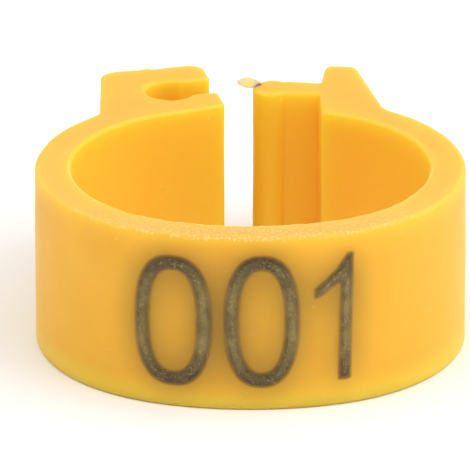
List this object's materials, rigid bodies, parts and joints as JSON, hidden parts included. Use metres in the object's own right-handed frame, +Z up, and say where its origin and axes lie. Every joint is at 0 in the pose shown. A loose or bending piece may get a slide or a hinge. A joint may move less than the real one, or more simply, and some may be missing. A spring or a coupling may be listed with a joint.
{
  "type": "leg band",
  "caption": "Clip-on numbered leg ring for poultry: one sprung plastic band whose beaded tongue snaps into a round socket at the back.",
  "frame": {"origin": "middle of the sprung-open band in plan, on the lower edge that it stands on", "axes": "+Z up along the leg, -Y towards the printed number, +Y towards the clasp, +X towards the tongue half"},
  "size_m": [0.0116, 0.0122, 0.005],
  "materials": {
    "band_plastic": "satin moulded",
    "number_ink": "matt printed ink"
  },
  "bodies": {
    "socket_half": {"number_panel": "band_plastic", "digit_hundreds": "number_ink", "digit_tens": "number_ink", "digit_units": "number_ink", "socket_arm": "band_plastic", "socket_lug": "band_plastic", "socket_lip": "band_plastic"},
    "tongue_half": {"tongue_arm": "band_plastic", "stop_lug": "band_plastic", "tongue": "band_plastic", "catch_bead": "band_plastic"}
  },
  "joints": [
    {"name": "band_flex", "type": "hinge", "parent": "socket_half", "child": "tongue_half", "pos_m": [0, -0.00564, 0], "axis": [0, 0, 1], "range_deg": [-34, 15.8], "stiffness_Nm_per_rad": 0.02, "deforming": ["number_panel", "digit_hundreds", "digit_tens", "digit_units", "socket_lip"]}
  ]
}
